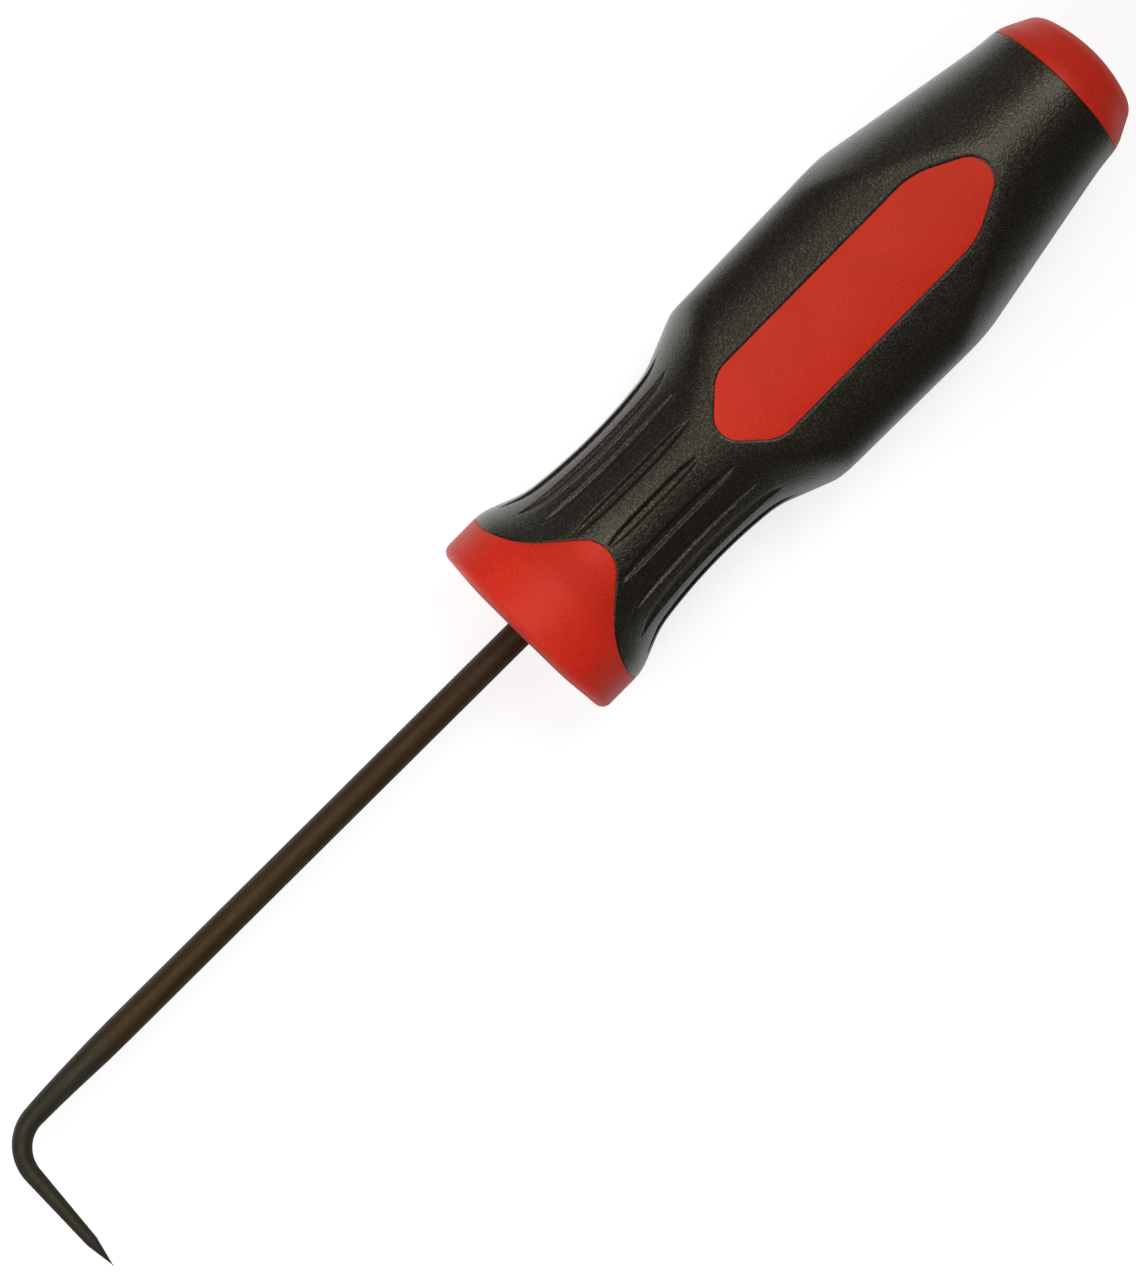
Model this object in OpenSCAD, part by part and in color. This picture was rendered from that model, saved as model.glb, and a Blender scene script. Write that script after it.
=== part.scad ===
// Angled pick for lifting seals: a blackened steel wire with a ground, bent point,
// moulded into a red hard handle core that carries a soft black grip sleeve.
// The handle's axis is X. The point is towards +X, its bent leg lies towards +Y and
// the front window faces +Z. The origin is the centre of the collar's front face.

/* [Wire] */
// Diameter of the straight wire
wire_d = 4; // [3:0.1:5]
// Length of wire held inside the handle
wire_hold_l = 64; // [40:1:85]
// Angle that the wire leans off the handle's axis, away from its leg
wire_lean = 0.65; // [0:0.05:1.5]
// Distance behind the collar's face where the leaning wire crosses the axis
wire_lean_at = 14; // [0:1:30]
// Distance from the collar's face to the start of the ground taper
taper_start = 79; // [50:1:84]
// Distance from the collar's face to the corner that the bend rounds off
corner_at = 98.1; // [92:0.1:140]
// Angle that the leg is turned through
bend_turn = 86.4; // [60:0.2:100]
// Radius of the bend along the wire's centre line
bend_r = 6; // [4:0.5:9]
// Length of the leg from the corner to the tip
leg_l = 22.1; // [16:0.1:30]
// Diameter of the leg where the sharp point starts
point_d = 1.7; // [1:0.1:2.4]
// Length of the sharp point
point_l = 4.4; // [2:0.1:7]
// Length of the two pressed wings that stop the wire from turning
wing_l = 9; // [5:1:14]
// Width across the pressed wings
wing_w = 6.4; // [5.2:0.1:8]
// Thickness of the pressed wings
wing_t = 1.8; // [1:0.1:2.6]
// Length of plain wire behind the wings
wing_gap = 2.2; // [1:0.1:4]

/* [Collar] */
// Diameter of the collar
collar_d = 30.7; // [28:0.1:34]
// Diameter of the flat part of the collar's face
collar_flat_d = 17; // [12:0.5:22]
// How far the rim of the collar's face lies behind its flat part
collar_fall = 0.6; // [0.2:0.1:1]
// Radius of the collar's front edge
collar_edge_r = 1.5; // [0.5:0.1:2]
// Radius between the collar and the flare behind it
collar_back_r = 8; // [4:0.5:9]
// Distance from the face to the line that the wave runs out to
collar_side_l = 5.8; // [5:0.05:6.5]
// Distance from the face to the top of the red wave, front and back
wave_top = 16; // [14:0.1:17]
// Angle between the axis and the flanks of the wave
wave_angle = 41.5; // [38:0.5:48]
// Radius at the top of the red wave
wave_top_r = 4.4; // [2:0.1:5]
// Radius where the wave runs out into the sides
wave_foot_r = 15.5; // [10:0.5:16.5]
// Width and depth of the chamfer round the wire's hole
mouth_chamfer = 0.3; // [0.1:0.05:0.8]

/* [Neck] */
// Diameter of the neck where it is narrowest
neck_d = 24.1; // [23:0.1:25.5]
// Distance from the collar's face to the narrowest place
neck_at = 26.4; // [25.5:0.1:28]
// Radius of the hollow along the neck
neck_r = 82; // [70:1:95]
// Length of that hollow on the collar's side of the narrowest place
neck_front_l = 10.6; // [9:0.1:11.5]
// Length of that hollow on the belly's side of the narrowest place
neck_back_l = 8.9; // [8:0.1:10]
// Radius between the hollow and the flares at its ends
neck_blend_r = 14; // [8:0.5:16]
// Slope of the flares at both ends of the neck
flare_angle = 21.8; // [18:0.2:25]

/* [Flutes] */
// Number of flutes round the neck
flute_count = 18; // [12:2:24]
// Width of a flute
flute_w = 1.3; // [0.8:0.1:1.8]
// Width of a flute's floor
flute_floor_w = 0.6; // [0.3:0.1:0.8]
// Depth of a flute at the middle of its length
flute_depth = 0.9; // [0.6:0.05:1.2]
// Distance from the collar's face to the middle of the flutes
flute_at = 25.6; // [24:0.1:27]
// Radius along a flute at the front and back
flute_front_r = 25; // [21:0.5:30]
// Radius along a flute at the sides
flute_side_r = 33.5; // [30:0.5:36]

/* [Belly] */
// Width of the belly at its middle
belly_w = 32.5; // [30:0.1:35]
// Thickness of the belly from front to back at its middle
belly_t = 26.8; // [26:0.1:29]
// Distance from the collar's face to the belly's middle
belly_at = 62; // [58:0.5:66]
// Moulding draft of the belly, widening towards the cap
belly_draft = 0.93; // [0:0.01:1.2]
// Radius of the belly's four long corners
belly_corner_r = 8.5; // [6:0.1:10]
// Radius of the belly's crowned front and back
belly_face_r = 38; // [32:1:60]

/* [Tail and cap] */
// Length of the whole handle
handle_l = 110.8; // [108:0.1:118]
// Length of the red cap
cap_l = 7.8; // [6:0.1:9.5]
// Diameter where the grip ends at the cap
tail_d = 22.9; // [21.5:0.1:24]
// Slope of the long taper behind the belly
tail_angle = 10.3; // [9:0.1:11.5]
// Slope of the grip's last few millimetres
tail_end_angle = 4.5; // [2:0.1:7]
// Radius between these two slopes
tail_blend_r = 45; // [20:1:60]
// Slope of the cap's side
cap_angle = 22; // [16:0.5:28]
// Radius of the cap's edge
cap_edge_r = 2.8; // [1.5:0.1:3.5]
// Radius of the cap's domed end
cap_dome_r = 23; // [18:0.5:40]

/* [Windows] */
// Width of a window
window_w = 12.5; // [10:0.1:13.5]
// Distance from the collar's face to the window's front tip
window_start = 37.75; // [36.5:0.05:44]
// Distance from the collar's face to the window's rear tip
window_end = 87.7; // [80:0.1:90]
// Radius of the two tips
window_tip_r = 3.4; // [1.5:0.1:3.8]
// Angle between the axis and the window's front shoulders
window_front_angle = 43; // [36:1:52]
// Angle between the axis and the window's rear shoulders
window_rear_angle = 28; // [22:1:40]
// Radius of the front shoulders
window_front_r = 5; // [1:0.1:6]
// Radius of the rear shoulders
window_rear_r = 11.4; // [3:0.2:14]
// How far the red window lies below the grip's surface
window_recess = 0.35; // [0.2:0.05:0.8]

/* [Grip sleeve] */
// Thickness of the soft grip
sleeve_t = 2.6; // [2:0.1:3.4]

/* [Hidden] */
$fa = 3;
$fs = 0.4;
// how far the straight pieces of a drawn arc may stray from it
arc_error = 0.02;
// how far each quarter of the belly runs past the middle before it leans out
lean_room = 3;
// how far the swept bend starts inside the taper in front of it, and how much slimmer
tuck_l = 0.6;
tuck = 0.97;
// room for cutting tools to run past what they cut
past = 20;
cap_at = handle_l - cap_l;
collar_r = collar_d / 2;
neck_low = neck_d / 2;
flare_slope = tan(flare_angle);
// half the crowned width of the belly's face, where its corners start
corner_in_w = belly_w / 2 - belly_corner_r;
crown_angle = asin(corner_in_w / (belly_face_r - belly_corner_r));
// the taper of the wire runs from its start to the sharp point
bend_tangent = bend_r * tan(bend_turn / 2);
bend_start = corner_at - bend_tangent;
bend_l = bend_r * bend_turn * PI / 180;
leg_straight_l = leg_l - bend_tangent;
taper_l = bend_start - taper_start + bend_l + leg_straight_l - point_l;
sweep_sides = 32;
tip_r = 0.06;

function unit(v) = v / norm(v);
function turned(a) = [cos(a), sin(a)];

// Steps that draw an arc of radius r through this turn, true to arc_error
function arc_steps(r, turn) = max(1, ceil(turn / (2 * acos(1 - arc_error / max(r, 2 * arc_error)))));

// One corner [x, y, radius] of an outline becomes the points of its arc.
function corner_points(c, i) =
    let (
        n = len(c),
        q = [c[i][0], c[i][1]],
        before = c[(i + n - 1) % n],
        after = c[(i + 1) % n],
        u = unit([before[0], before[1]] - q),
        v = unit([after[0], after[1]] - q),
        half = acos(u * v) / 2,
        r = c[i][2],
        centre = q + unit(u + v) * r / sin(half),
        first = q + u * r / tan(half) - centre,
        turn = (180 - 2 * half) * sign(cross(-u, v)),
        steps = arc_steps(r, abs(turn))
    )
    r == 0 ? [q] : [for (k = [0:steps]) let (a = turn * k / steps) centre + rotated(first, a)];

function rotated(v, a) = [v[0] * cos(a) - v[1] * sin(a), v[0] * sin(a) + v[1] * cos(a)];

// The points of an outline with rounded corners, listed anticlockwise
function rounded(c) = [for (i = [0:len(c) - 1]) each corner_points(c, i)];

// The lower half of an outline that is symmetric about the axis, and its mirror image
function mirrored(half) = concat(
    half,
    [for (i = [len(half) - 1:-1:0]) if (half[i][1] != 0) [half[i][0], -half[i][1], half[i][2]]]
);

// Where two lines cross that are given by a point and a slope
function crossing(p, a, q, b) =
    let (x = (q[1] - p[1] + a * p[0] - b * q[0]) / (a - b)) [x, p[1] + a * (x - p[0])];

// The turned outline of the handle, as [distance behind the collar's face, radius, rounding]
hollow_front = asin(neck_front_l / neck_r);
hollow_back = asin(neck_back_l / neck_r);
hollow_front_end = [neck_at - neck_front_l, neck_low + neck_r * (1 - cos(hollow_front))];
hollow_back_end = [neck_at + neck_back_l, neck_low + neck_r * (1 - cos(hollow_back))];
function blend_end(p, a, side) =
    p + [side * neck_blend_r * (sin(flare_angle) - sin(a)), neck_blend_r * (cos(a) - cos(flare_angle))];
flare_front_end = blend_end(hollow_front_end, hollow_front, -1);
flare_back_end = blend_end(hollow_back_end, hollow_back, 1);
flare_front_top = crossing(flare_front_end, -flare_slope, [0, collar_r], 0);
neck_front_corner = crossing(flare_front_end, -flare_slope, hollow_front_end, -tan(hollow_front));
neck_low_corner = crossing(hollow_front_end, -tan(hollow_front), hollow_back_end, tan(hollow_back));
neck_back_corner = crossing(hollow_back_end, tan(hollow_back), flare_back_end, flare_slope);
// the rounding between the grip's last two slopes ends just before the cap
tail_end_l = tail_blend_r * tan((tail_angle - tail_end_angle) / 2) + 0.2;
tail_corner = [cap_at - tail_end_l, tail_d / 2 + tail_end_l * tan(tail_end_angle)];
// the flare and the long taper would meet in a peak, which the belly cuts off
peak = crossing(flare_back_end, flare_slope, tail_corner, -tan(tail_angle));
// the cap's edge circle touches the cap's side and the dome
edge_line = tail_d / 2 - cap_edge_r / cos(cap_angle);
dome_centre = handle_l - cap_dome_r;
dome_reach = cap_dome_r - cap_edge_r;
edge_a = 1 + tan(cap_angle) ^ 2;
edge_b = -2 * (dome_centre - cap_at) - 2 * edge_line * tan(cap_angle);
edge_c = (dome_centre - cap_at) ^ 2 + edge_line ^ 2 - dome_reach ^ 2;
edge_x = (-edge_b + sqrt(edge_b ^ 2 - 4 * edge_a * edge_c)) / (2 * edge_a);
edge_centre = [cap_at + edge_x, edge_line - edge_x * tan(cap_angle)];
dome_edge_angle = atan2(edge_centre[1], edge_centre[0] - dome_centre);
dome_edge = [dome_centre, 0] + cap_dome_r * turned(dome_edge_angle);
dome_top = [dome_centre + cap_dome_r / cos(dome_edge_angle), 0];
cap_corner = crossing([cap_at, tail_d / 2], -tan(cap_angle), dome_edge, -1 / tan(dome_edge_angle));

handle_half = [
    [0, -collar_flat_d / 2, 30],
    [collar_fall, -collar_r, collar_edge_r],
    [flare_front_top[0], -flare_front_top[1], collar_back_r],
    [neck_front_corner[0], -neck_front_corner[1], neck_blend_r],
    [neck_low_corner[0], -neck_low_corner[1], neck_r],
    [neck_back_corner[0], -neck_back_corner[1], neck_blend_r],
    [peak[0], -peak[1], 0],
    [tail_corner[0], -tail_corner[1], tail_blend_r],
    [cap_at, -tail_d / 2, 0],
    [cap_corner[0], -cap_corner[1], cap_edge_r],
    [dome_top[0], 0, cap_dome_r]
];

// The handle's own frame: Z runs from the collar's face to the cap and X faces the window.
module in_handle() {
    rotate([0, -90, 0]) children();
}

// The turned body, drawn in by inset all along
module turned_body(inset) {
    in_handle() rotate_extrude() intersection() {
        translate([-inset, 0]) mirror([1, 0]) rotate(90) polygon(rounded(mirrored(handle_half)));
        translate([0, -past]) square([collar_d, handle_l + 2 * past]);
    }
}

// A quarter of the belly's section: a crowned face, a round corner and a flat side
module quarter_section(inset) {
    corner_r = belly_corner_r - inset;
    face_r = belly_face_r - inset;
    face_x = belly_t / 2 - belly_face_r;
    corner_x = face_x + (belly_face_r - belly_corner_r) * cos(crown_angle);
    corner_steps = arc_steps(corner_r, 90 - crown_angle);
    face_steps = arc_steps(face_r, crown_angle);
    polygon([
        [-lean_room, -lean_room],
        [face_x + face_r, -lean_room],
        for (k = [0:face_steps]) [face_x, 0] + face_r * turned(crown_angle * k / face_steps),
        for (k = [1:corner_steps])
            [corner_x, corner_in_w] + corner_r * turned(crown_angle + (90 - crown_angle) * k / corner_steps),
        [-lean_room, belly_w / 2 - inset]
    ]);
}

// Four mirrored quarters, each leaning outwards by the moulding draft
module belly_bar(inset) {
    bar_front = belly_at - neck_at;
    bar_back = handle_l - belly_at + past;
    for (side = [0, 1], face = [0, 1]) {
        mirror([0, side, 0]) mirror([face, 0, 0]) intersection() {
            translate([0, 0, belly_at]) rotate([-belly_draft, belly_draft, 0]) {
                translate([0, 0, -bar_front - lean_room]) {
                    linear_extrude(bar_front + bar_back) quarter_section(inset);
                }
            }
            translate([0, 0, neck_at]) cube(handle_l + 2 * past);
        }
    }
}

// The handle's outer form, or the same form drawn in by inset
module handle_form(inset) {
    intersection() {
        turned_body(inset);
        in_handle() union() {
            translate([0, 0, -past]) cylinder(r = collar_d, h = neck_at + past);
            belly_bar(inset);
        }
    }
}

// What lies in front of the wave that parts the collar from the grip
module collar_zone() {
    wave_apex = wave_top + wave_top_r * (1 / sin(wave_angle) - 1);
    wave_half = [
        [-past, -collar_d, 0],
        [collar_side_l, -collar_d, 0],
        [collar_side_l, (collar_side_l - wave_apex) * tan(wave_angle), wave_foot_r],
        [wave_apex, 0, wave_top_r]
    ];
    mirror([1, 0, 0]) linear_extrude(2 * collar_d, center = true) polygon(rounded(mirrored(wave_half)));
}

module cap_zone() {
    in_handle() translate([0, 0, cap_at]) cylinder(r = collar_d, h = cap_l + past);
}

// Both windows at once, cut straight through from front to back
module window_zone() {
    half_w = window_w / 2;
    front_apex = window_start - window_tip_r * (1 / sin(window_front_angle) - 1);
    rear_apex = window_end + window_tip_r * (1 / sin(window_rear_angle) - 1);
    window_half = [
        [front_apex, 0, window_tip_r],
        [front_apex + half_w / tan(window_front_angle), -half_w, window_front_r],
        [rear_apex - half_w / tan(window_rear_angle), -half_w, window_rear_r],
        [rear_apex, 0, window_tip_r]
    ];
    mirror([1, 0, 0]) linear_extrude(2 * collar_d, center = true) polygon(rounded(mirrored(window_half)));
}

// The hard core's part that lies under the grip
module core_under_grip() {
    core_start = collar_side_l / 2;
    core_end = cap_at + cap_l / 2;
    intersection() {
        handle_form(sleeve_t);
        in_handle() translate([0, 0, core_start]) cylinder(r = collar_d, h = core_end - core_start);
    }
}

// Flutes are shorter at the front and back, where the wave and the windows come close
function flute_bend(a) = flute_front_r + (flute_side_r - flute_front_r) * sqrt(abs(sin(a)));

// Each flute is cut as by the bevelled rim of a disc that stands along the neck
module flutes() {
    cut_angle = 80;
    cut_deep = 5;
    for (i = [0:flute_count - 1]) {
        a = i * 360 / flute_count;
        bend = flute_bend(a);
        in_handle() rotate(a) translate([neck_low - flute_depth + bend, 0, flute_at]) rotate([90, 0, 0]) {
            rotate_extrude(angle = cut_angle, start = 180 - cut_angle / 2) polygon([
                [bend - cut_deep, -flute_w / 2],
                [bend - flute_depth, -flute_w / 2],
                [bend, -flute_floor_w / 2],
                [bend, flute_floor_w / 2],
                [bend - flute_depth, flute_w / 2],
                [bend - cut_deep, flute_w / 2]
            ]);
        }
    }
}

// The wire's bent centre line after the straight part: a place and a heading for each distance
function wire_place(s) =
    s <= bend_start ? [s, 0]
    : s <= bend_start + bend_l ?
        let (a = (s - bend_start) / bend_l * bend_turn) [bend_start + bend_r * sin(a), bend_r * (1 - cos(a))]
    : [corner_at, 0] + (bend_tangent + s - bend_start - bend_l) * turned(bend_turn);
function wire_heading(s) = bend_turn * min(1, max(0, (s - bend_start) / bend_l));
function wire_radius(s) =
    let (along = (s - taper_start) / taper_l, left = (wire_end - s) / point_l)
    along <= 1 ? wire_d / 2 + (point_d - wire_d) / 2 * along : max(tip_r, point_d / 2 * left);
wire_end = taper_start + taper_l + point_l;

// The bend, the leg and the sharp point, swept along the centre line. The first ring
// hides inside the taper.
module bent_end() {
    bend_steps = 14;
    stations = concat(
        [bend_start - tuck_l],
        [for (i = [0:bend_steps]) bend_start + bend_l * i / bend_steps],
        [wire_end - point_l, wire_end]
    );
    rings = len(stations);
    points = [
        for (k = [0:rings - 1], i = [0:sweep_sides - 1])
            let (
                p = wire_place(stations[k]),
                h = wire_heading(stations[k]),
                r = wire_radius(stations[k]) * (k < 2 ? tuck : 1),
                a = 360 * i / sweep_sides
            )
            [p[0] - r * cos(a) * sin(h), p[1] + r * cos(a) * cos(h), r * sin(a)]
    ];
    sides = [
        for (k = [0:rings - 2], i = [0:sweep_sides - 1])
            let (j = (i + 1) % sweep_sides, low = k * sweep_sides, high = low + sweep_sides)
            each [[low + i, high + i, low + j], [low + j, high + i, high + j]]
    ];
    start_cap = [[for (i = [0:sweep_sides - 1]) i]];
    end_cap = [[for (i = [sweep_sides - 1:-1:0]) (rings - 1) * sweep_sides + i]];
    polyhedron(points, concat(start_cap, sides, end_cap), convexity = 4);
}

// The ground taper in front of the bend
module straight_taper() {
    translate([taper_start, 0, 0]) rotate([0, 90, 0]) {
        cylinder(r1 = wire_radius(taper_start), r2 = wire_radius(bend_start), h = bend_start - taper_start);
    }
}

// The wire's own frame: it leans a little in the handle
module in_wire() {
    translate([-wire_lean_at, 0, 0]) rotate([0, 0, -wire_lean]) translate([wire_lean_at, 0, 0]) children();
}

// The straight wire with the wings pressed into its held end
module straight_wire() {
    in_wire() {
        translate([-wire_hold_l, 0, 0]) rotate([0, 90, 0]) {
            cylinder(d = wire_d, h = wire_hold_l + taper_start);
        }
        translate([wing_gap + wing_l / 2 - wire_hold_l, 0, 0]) {
            cube([wing_l, wing_w, wing_t], center = true);
        }
    }
}

module pick_shaft() {
    color([0.19, 0.15, 0.11]) union() {
        straight_wire();
        in_wire() {
            straight_taper();
            bent_end();
        }
    }
}

// The chamfer round the wire where it comes out of the collar
module wire_mouth() {
    in_wire() translate([-wire_d / 2, 0, 0]) rotate([0, 90, 0]) {
        cylinder(r1 = mouth_chamfer, r2 = mouth_chamfer + wire_d, h = wire_d);
    }
}

module handle_core() {
    color([0.80, 0.17, 0.10]) difference() {
        union() {
            core_under_grip();
            intersection() {
                handle_form(0);
                union() {
                    collar_zone();
                    cap_zone();
                }
            }
            intersection() {
                handle_form(window_recess);
                window_zone();
            }
        }
        straight_wire();
        wire_mouth();
    }
}

module grip_sleeve() {
    color([0.16, 0.15, 0.13]) difference() {
        handle_form(0);
        core_under_grip();
        collar_zone();
        cap_zone();
        window_zone();
        flutes();
    }
}

pick_shaft();
handle_core();
grip_sleeve();
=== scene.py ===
"""Angled pick: a blackened wire with a bent point in a red and black two-part handle."""

import math

import bmesh
import bpy
import numpy as np
from mathutils import Matrix, Vector
from mathutils.geometry import delaunay_2d_cdt

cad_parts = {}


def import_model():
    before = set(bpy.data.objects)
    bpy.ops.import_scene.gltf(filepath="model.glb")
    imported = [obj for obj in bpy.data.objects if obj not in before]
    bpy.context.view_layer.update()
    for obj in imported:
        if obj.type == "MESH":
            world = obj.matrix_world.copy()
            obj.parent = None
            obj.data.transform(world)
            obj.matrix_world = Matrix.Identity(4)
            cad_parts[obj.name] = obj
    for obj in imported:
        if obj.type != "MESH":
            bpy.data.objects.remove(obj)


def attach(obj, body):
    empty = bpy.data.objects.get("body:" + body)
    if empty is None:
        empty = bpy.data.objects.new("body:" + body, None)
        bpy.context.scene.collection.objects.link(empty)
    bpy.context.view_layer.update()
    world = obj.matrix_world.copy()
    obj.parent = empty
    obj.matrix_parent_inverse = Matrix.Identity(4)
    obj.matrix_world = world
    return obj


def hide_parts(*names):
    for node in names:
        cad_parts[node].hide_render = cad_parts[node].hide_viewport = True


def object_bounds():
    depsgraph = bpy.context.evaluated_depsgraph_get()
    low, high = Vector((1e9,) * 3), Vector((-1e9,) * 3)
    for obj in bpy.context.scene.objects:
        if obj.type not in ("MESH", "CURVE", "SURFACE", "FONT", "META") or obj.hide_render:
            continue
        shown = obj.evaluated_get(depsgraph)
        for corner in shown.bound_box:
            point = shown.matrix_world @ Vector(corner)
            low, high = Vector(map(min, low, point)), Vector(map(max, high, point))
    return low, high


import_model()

cad_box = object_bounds()
MM = 0.001
scene = bpy.context.scene

# Sizes in millimetres, as in the model. Distances d run from the collar's face to the cap.

# Wire
WIRE_R = 2.0
WIRE_LEAN = math.radians(0.65)
WIRE_LEAN_AT = 14.0
WIRE_HOLD_L = 64.0
TAPER_START = 79.0
CORNER_AT = 98.1
BEND_TURN = math.radians(86.4)
BEND_R = 6.0
LEG_L = 22.1
POINT_R = 0.85
POINT_L = 4.4
TIP_R = 0.05
WING_L, WING_W, WING_T, WING_GAP = 9.0, 6.4, 1.8, 2.2
# the wire bows a little before its bend
BOW_START, BOW = 84.0, math.radians(2.0)

# Collar
COLLAR_R = 15.35
COLLAR_FLAT_R = 8.5
COLLAR_FACE_R = 30
COLLAR_FALL = 0.6
COLLAR_EDGE_R = 1.5
COLLAR_BACK_R = 8.0
COLLAR_SIDE_L = 6.2
WAVE_TOP = 16.2
WAVE_ANGLE = math.radians(41.5)
WAVE_TOP_R = 4.4
WAVE_FOOT_R = 13.5
# at the sides the wave turns back a little, from this far off the middle plane
WAVE_TURN_AT, WAVE_TURN = 13.9, 0.62
MOUTH_CHAMFER = 0.3

# Neck and flutes
NECK_R = 12.05
NECK_AT = 26.4
HOLLOW_R = 82.0
HOLLOW_FRONT_L, HOLLOW_BACK_L = 10.6, 8.9
NECK_BLEND_R = 14.0
FLARE = math.radians(21.8)
# the flutes of a quarter; the side ones sit a little nearer to the front than an even pitch would put them
FLUTE_ANGLES = np.radians([0, 20, 39.2, 55, 74.5])
FLUTE_DEPTH = 0.44
FLUTE_AT = 25.0
# half the width of a flute's floor at the front and, from this angle on, at the sides
FLUTE_FLOOR, FLUTE_SIDE_FLOOR = 0.34, 0.62
FLUTE_SIDE_FROM = math.radians(50)
# the width of a flute's sloping wall
FLUTE_WALL = 0.5
# how far the wall's two edges are rounded, as a share of its width
FLUTE_EDGE = 0.22
# half the length of a flute at the front, and how much more it is at the sides
FLUTE_REACH, FLUTE_SIDE_REACH = 8.6, 6.4
# how long a flute stays full, and how it then runs out
FLUTE_FULLNESS, FLUTE_RUN_OUT = 4, 0.62

# Belly
BELLY_W, BELLY_T = 32.5, 26.8
BELLY_AT = 62.0
BELLY_DRAFT = math.radians(0.93)
BELLY_CORNER_R = 8.5
BELLY_FACE_R = 38.0
# how softly the turned outline runs into the belly: in front, there at the sides, and behind
SHOULDER_BLEND, SHOULDER_SIDE_BLEND, TAPER_BLEND = 0.98, 0.3, 0.36
SHOULDER_SIDE_POWER = 4
# the length over which the one softness turns into the other
BLEND_TURN_L = 10

# Tail and cap
HANDLE_L = 110.5
CAP_L = 7.5
TAIL_R = 11.48
TAIL = math.radians(10.3)
TAIL_END = math.radians(4.2)
TAIL_BLEND_R = 45.0
TAIL_STRAIGHT_L = 0.2
# the cap's side runs on from the tail, and turns a little behind the seam
CAP_TURN_L, CAP_TURN_R = 0.86, 7.0
CAP_ANGLE = math.radians(26.8)
CAP_EDGE_R = 2.8
CAP_DOME_R = 22.0

# Windows
WINDOW_W = 12.5
WINDOW_START, WINDOW_END = 37.75, 87.7
WINDOW_TIP_R = 3.4
WINDOW_FRONT_A, WINDOW_REAR_A = math.radians(43), math.radians(28)
WINDOW_FRONT_R, WINDOW_REAR_R = 5.0, 11.4
WINDOW_RECESS = 0.14

SLEEVE_T = 2.6

# The grip's rounded lip round a window, and the radius of the other edges where red meets black
LIP_W, LIP_DROP = 0.45, 0.16
PAD_EDGE_R = 0.06
SEAM_R = 0.1

# Meshing: the spacing of the outer surface and of the one under the grip
FINE, COARSE = 0.8, 2.6
ARC_TURN = math.radians(7)
OUTLINE_STEP, BORDER_STEP = 0.05, 0.25
DOME_STEPS = 60
FAR = 99.0
BISECTIONS = 40
# a point this close to a border counts as lying on it
ON_BORDER = 0.02
# and this close to a quarter's side or to the outline's end
ON_RIM = 1e-5
# what lies closer together than this, in metres, is joined
WELD = 2e-6
HANDLE_SHARP, WIRE_SHARP = math.radians(50), math.radians(40)
# a quarter of the handle is meshed in the plane of [length along the outline, angle * MID_R]
MID_R = 13.0
QUARTER = math.pi / 2
# lines of points beside a border, by their distance from it, which is positive on the black side
WINDOW_RINGS = (-1.0, -0.5, -0.2, -0.06, -0.03, 0, 0.06, 0.13, 0.22, 0.32, 0.45, 0.6, 0.9)
SEAM_RINGS = (-0.9, -0.5, -0.25, -0.1, -0.05, 0, 0.05, 0.1, 0.25, 0.5, 0.9)
# rows of points along a flute, by their distance from its middle; they keep clear of the borders
FLUTE_ROWS = (0, 0.17, 0.3, 0.37, 0.45, 0.53, 0.61, 0.69, 0.77, 0.86, 0.96, 1.06, 1.15, 1.35)
FLUTE_STEP = 0.45
FLUTE_CLEAR = 1.1
# what the grid between all these leaves free: a share of its spacing, and behind and beside a flute
GRID_ROOM = 0.45
FLUTE_ROOM_ALONG, FLUTE_ROOM_ACROSS = 0.3, 0.25
# points on a quarter of the ring round the wire's mouth, and the free space behind that ring
MOUTH_SIDES = 12
MOUTH_ROOM = 0.3
WIRE_SIDES = 48
# the wire's centre line, and its stations: a step on the straight part, counts on the other ones
LINE_STEP = 0.05
WIRE_STEP, WIRE_STEPS_FROM = 4.0, -48
BEND_STATIONS, LEG_STATIONS, POINT_STATIONS = 50, 20, 16
# how much the point's stations gather at its tip
POINT_GATHER = 0.8

# Materials: noise sizes and bump depths are millimetres, and a bump is (depth, strength)
# most of a noise's values lie in this range
NOISE_LOW, NOISE_HIGH = 0.3, 0.7
GRIP_TINT = (0.80, 0.75, 0.64, 1)
GRIP_COLOURS = ((0.0085, 0.0072, 0.0056), (0.0175, 0.0152, 0.0125))
GRIP_GRAIN, GRIP_SWELL, GRIP_CLOUD, GRIP_CLOUD_SHARE = 0.3, 1.4, 5.0, 0.35
GRIP_ROUGHNESS = (0.24, 0.40)
# the specular level follows the grain over the wide range, but is never under the floor
GRIP_SPECULAR, GRIP_SPECULAR_FLOOR = (-0.25, 1.25), 0.44
GRIP_SWELL_BUMP, GRIP_GRAIN_BUMP = (0.03, 0.2), (0.12, 0.6)
RED_TINT = (0.62, 0.55, 0.45, 1)
RED_COLOURS = ((0.58, 0.015, 0.005), (0.76, 0.031, 0.012))
RED_GRAIN, RED_SWELL, RED_CLOUD, RED_CLOUD_SHARE = 0.32, 3.0, 7.0, 0.3
RED_ROUGHNESS = (0.42, 0.60)
RED_SWELL_BUMP, RED_GRAIN_BUMP = (0.04, 0.4), (0.06, 0.8)
WIRE_METALLIC = 0.12
WIRE_TINT = (0.62, 0.52, 0.38, 1)
WIRE_BROWN = ((0.025, 0.0145, 0.0068), (0.042, 0.0265, 0.0135))
WIRE_GREY = ((0.018, 0.0185, 0.0125), (0.033, 0.034, 0.026))
# the wire is brown up to the first distance from the collar, and grey from the second one on
GROUND_FROM, GROUND_TO = 76.0, 84.0
# drawing streaks, squeezed along the wire by this factor
WIRE_STREAK, WIRE_STREAK_SQUEEZE = 0.5, (0.08, 1, 1)
WIRE_CLOUD, WIRE_PITS = 0.7, 0.25
WIRE_ROUGHNESS = (0.50, 0.64)
WIRE_STREAK_BUMP, WIRE_PITS_BUMP = (0.02, 0.4), (0.01, 0.4)

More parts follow.
